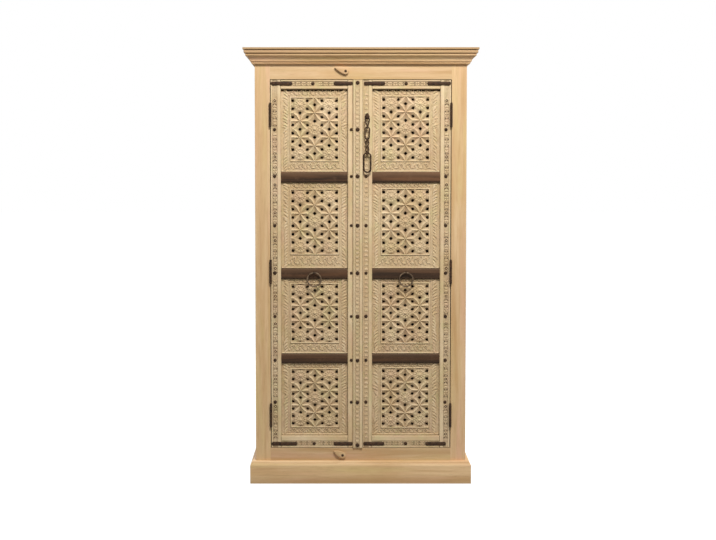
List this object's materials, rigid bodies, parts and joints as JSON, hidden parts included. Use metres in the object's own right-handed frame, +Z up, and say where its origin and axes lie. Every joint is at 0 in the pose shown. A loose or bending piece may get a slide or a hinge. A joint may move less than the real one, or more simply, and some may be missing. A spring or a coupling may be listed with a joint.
{
  "type": "carved two-door cabinet",
  "caption": "Tall free-standing wooden cabinet with two doors of pierced carved jali panels between dark bars, iron straps, studs, ring pulls, a chain latch and turn buttons.",
  "frame": {"origin": "on the floor, in the middle of the cabinet's width and depth", "axes": "+Z up, the doors face -Y, +X to the right as one faces the doors"},
  "size_m": [1.018, 0.444, 1.9],
  "materials": {
    "case_wood": "pale brushed wood, waxed, with visible grain",
    "carved_wood": "old carved wood with worn whitewash, matt",
    "dark_wood": "dark stained old wood, low sheen",
    "iron": "blackened forged iron with brown rust"
  },
  "bodies": {
    "case": {"side_left": "case_wood", "side_right": "case_wood", "back_boards": "case_wood", "top_board": "case_wood", "bottom_board": "case_wood", "face_stile_left": "case_wood", "face_stile_right": "case_wood", "face_rail_top": "case_wood", "face_rail_bottom": "case_wood", "cornice_cap": "case_wood", "cornice_front": "case_wood", "cornice_left": "case_wood", "cornice_right": "case_wood", "plinth_front": "case_wood", "plinth_left": "case_wood", "plinth_right": "case_wood", "shelf_lower": "case_wood", "shelf_middle": "case_wood", "shelf_upper": "case_wood", "shelf_cleats": "case_wood", "door_stop": "case_wood", "case_hinge_leaves": "iron", "hinge_pins": "iron", "button_screws": "iron"},
    "left_door": {"left_hinge_stile": "carved_wood", "left_meeting_stile": "carved_wood", "left_top_rail": "carved_wood", "left_bottom_rail": "carved_wood", "left_bars": "dark_wood", "left_jali_panel_1": "carved_wood", "left_jali_panel_2": "carved_wood", "left_jali_panel_3": "carved_wood", "left_jali_panel_4": "carved_wood", "left_corner_straps": "iron", "left_studs": "iron", "left_hinge_leaves": "iron", "left_ring_staple": "iron", "left_centre_strip": "carved_wood"},
    "right_door": {"right_hinge_stile": "carved_wood", "right_meeting_stile": "carved_wood", "right_top_rail": "carved_wood", "right_bottom_rail": "carved_wood", "right_bars": "dark_wood", "right_jali_panel_1": "carved_wood", "right_jali_panel_2": "carved_wood", "right_jali_panel_3": "carved_wood", "right_jali_panel_4": "carved_wood", "right_corner_straps": "iron", "right_studs": "iron", "right_hinge_leaves": "iron", "right_ring_staple": "iron", "chain_staple": "iron"},
    "left_ring": {"left_ring": "iron"},
    "right_ring": {"right_ring": "iron"},
    "chain_link_1": {"chain_link_1": "iron"},
    "chain_link_2": {"chain_link_2": "iron"},
    "chain_link_3": {"chain_link_3": "iron"},
    "chain_end_ring": {"chain_end_ring": "iron"},
    "top_turn_button": {"top_turn_button": "case_wood"},
    "bottom_turn_button": {"bottom_turn_button": "case_wood"}
  },
  "joints": [
    {"name": "left_door_hinge", "type": "hinge", "parent": "case", "child": "left_door", "pos_m": [-0.3928, -0.1795, 0.93], "axis": [0, 0, -1], "range_deg": [0, 170]},
    {"name": "right_door_hinge", "type": "hinge", "parent": "case", "child": "right_door", "pos_m": [0.3928, -0.1795, 0.93], "axis": [0, 0, 1], "range_deg": [0, 170]},
    {"name": "left_ring_pivot", "type": "hinge", "parent": "left_door", "child": "left_ring", "pos_m": [-0.2034, -0.1752, 0.9257], "axis": [-1, 0, 0], "range_deg": [0, 120]},
    {"name": "right_ring_pivot", "type": "hinge", "parent": "right_door", "child": "right_ring", "pos_m": [0.1982, -0.1752, 0.9257], "axis": [-1, 0, 0], "range_deg": [0, 120]},
    {"name": "top_button_turn", "type": "hinge", "parent": "case", "child": "top_turn_button", "pos_m": [-0.0661, -0.173, 1.8011], "axis": [0, -1, 0], "range_deg": [0, 125]},
    {"name": "bottom_button_turn", "type": "hinge", "parent": "case", "child": "bottom_turn_button", "pos_m": [-0.0792, -0.173, 0.1226], "axis": [0, 1, 0], "range_deg": [-35, 100]},
    {"name": "chain_link_1_pivot", "type": "hinge", "parent": "right_door", "child": "chain_link_1", "pos_m": [0.028, -0.183, 1.602], "axis": [-1, 0, 0], "range_deg": [0, 90]},
    {"name": "chain_link_2_pivot", "type": "hinge", "parent": "chain_link_1", "child": "chain_link_2", "pos_m": [0.028, -0.183, 1.5535], "axis": [0, -1, 0], "range_deg": [0, 60]},
    {"name": "chain_link_3_pivot", "type": "hinge", "parent": "chain_link_2", "child": "chain_link_3", "pos_m": [0.028, -0.183, 1.5067], "axis": [-1, 0, 0], "range_deg": [0, 60]},
    {"name": "chain_end_ring_pivot", "type": "hinge", "parent": "chain_link_3", "child": "chain_end_ring", "pos_m": [0.028, -0.183, 1.4407], "axis": [0, -1, 0], "range_deg": [0, 60]}
  ]
}
